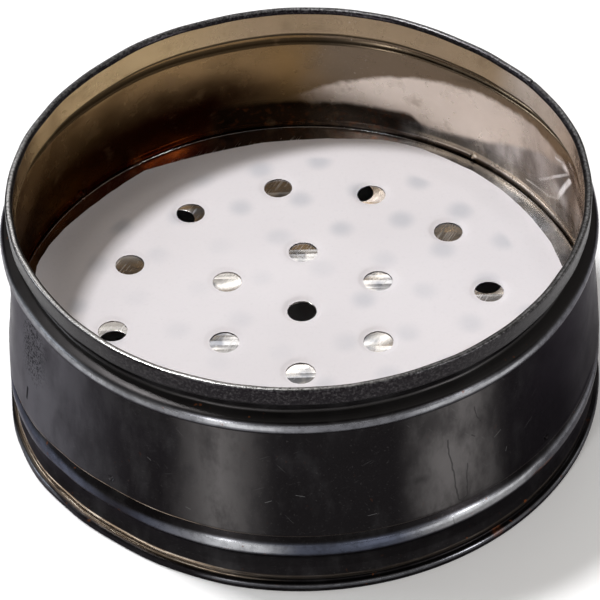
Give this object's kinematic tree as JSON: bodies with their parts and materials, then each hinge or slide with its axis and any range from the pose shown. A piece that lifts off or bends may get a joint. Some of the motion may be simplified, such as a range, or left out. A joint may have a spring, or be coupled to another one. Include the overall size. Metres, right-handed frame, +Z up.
{
  "type": "steamer basket",
  "caption": "Round stackable sheet-steel steamer basket with hemmed rim and foot, beaded wall, perforated base plate and a loose paper liner.",
  "frame": {"origin": "centre of the foot hem's underside, on the surface the basket stands on", "axes": "+Z up along the basket's axis, from the foot to the rim; +X and +Y lie across it"},
  "size_m": [0.2166, 0.2166, 0.0904],
  "materials": {
    "aged_steel": "dark, worn and heat-stained, polished beads",
    "wire_steel": "plain drawn wire, rusty",
    "plate_steel": "scratched, diagonal brush lines",
    "liner_paper": "matt white, slightly translucent"
  },
  "bodies": {
    "basket": {"side_wall": "aged_steel", "rim_wire": "wire_steel", "foot_wire": "wire_steel", "base_plate": "plate_steel"},
    "liner": {"paper_liner": "liner_paper"}
  },
  "joints": [
    {"name": "liner_lift", "type": "slide", "parent": "basket", "child": "liner", "axis": [0, 0, 1], "range_m": [0, 0.036]}
  ]
}
